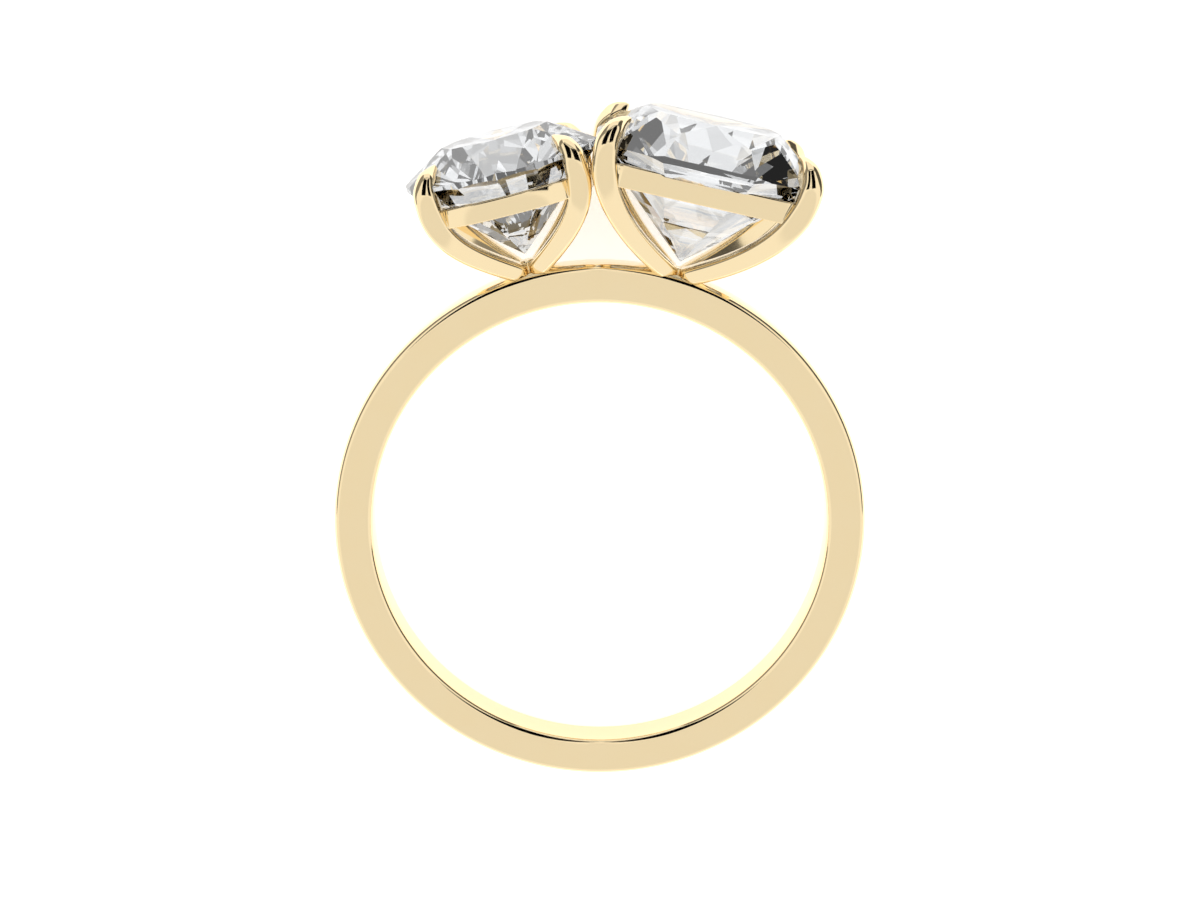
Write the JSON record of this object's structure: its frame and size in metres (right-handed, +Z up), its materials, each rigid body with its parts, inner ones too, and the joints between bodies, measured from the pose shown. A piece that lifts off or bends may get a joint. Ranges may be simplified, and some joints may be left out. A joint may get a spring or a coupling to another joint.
{
  "type": "toi et moi ring",
  "caption": "Toi et moi ring: a plain polished gold band carries a round brilliant and a cushion-cut stone side by side in curved claw settings.",
  "frame": {"origin": "middle of the underside of the ring's bounding box, as it lies on its side", "axes": "+Y from the finger hole towards the stones, +X from the round stone to the cushion stone, +Z up from the surface it lies on"},
  "size_m": [0.0192, 0.0248, 0.0069],
  "materials": {
    "gold": "polished yellow gold",
    "clear_stone": "polished facets, colourless"
  },
  "bodies": {
    "root": {"gold_mount": "gold", "round_stone": "clear_stone", "cushion_stone": "clear_stone"}
  },
  "joints": []
}
